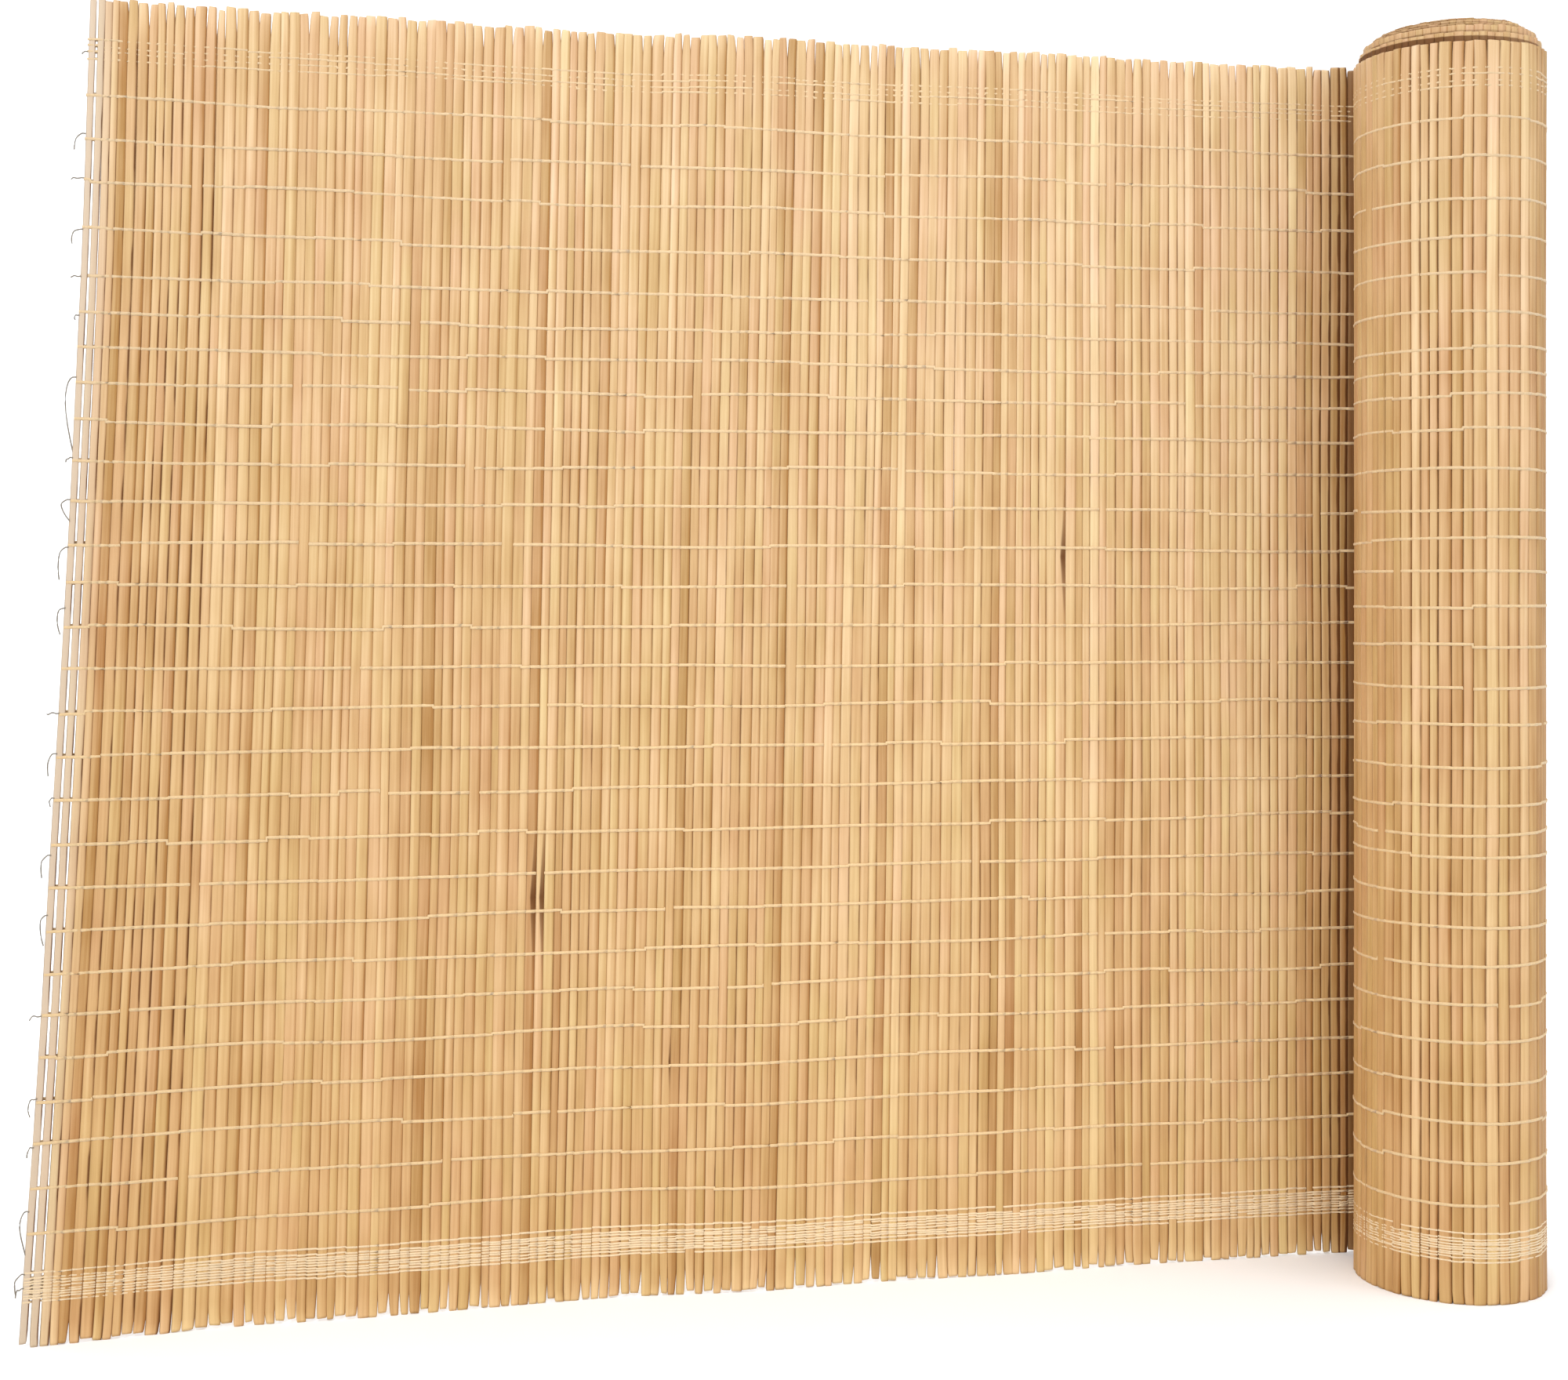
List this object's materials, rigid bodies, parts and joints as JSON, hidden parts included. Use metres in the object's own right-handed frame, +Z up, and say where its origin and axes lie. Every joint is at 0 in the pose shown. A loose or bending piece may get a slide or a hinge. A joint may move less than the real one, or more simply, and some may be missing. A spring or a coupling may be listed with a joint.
{
  "type": "roll of bamboo matting",
  "caption": "Roll of bamboo slat matting standing on end, with its loose end drawn out as an open woven sheet.",
  "frame": {"origin": "under the middle of the whole, on the surface that the slats' ends stand on", "axes": "+X along the open sheet from its free end to the roll, +Y from the sheet's shown face to its back, +Z up along the slats"},
  "size_m": [1.189, 0.1712, 1.014],
  "materials": {
    "bamboo_slats": "split bamboo slats, planed, bare, satin, pale tan with darker edges",
    "warp_thread": "thin twisted cotton thread, cream, matt"
  },
  "bodies": {
    "root": {"matting_roll": "bamboo_slats", "matting_sheet": "bamboo_slats"}
  },
  "joints": []
}
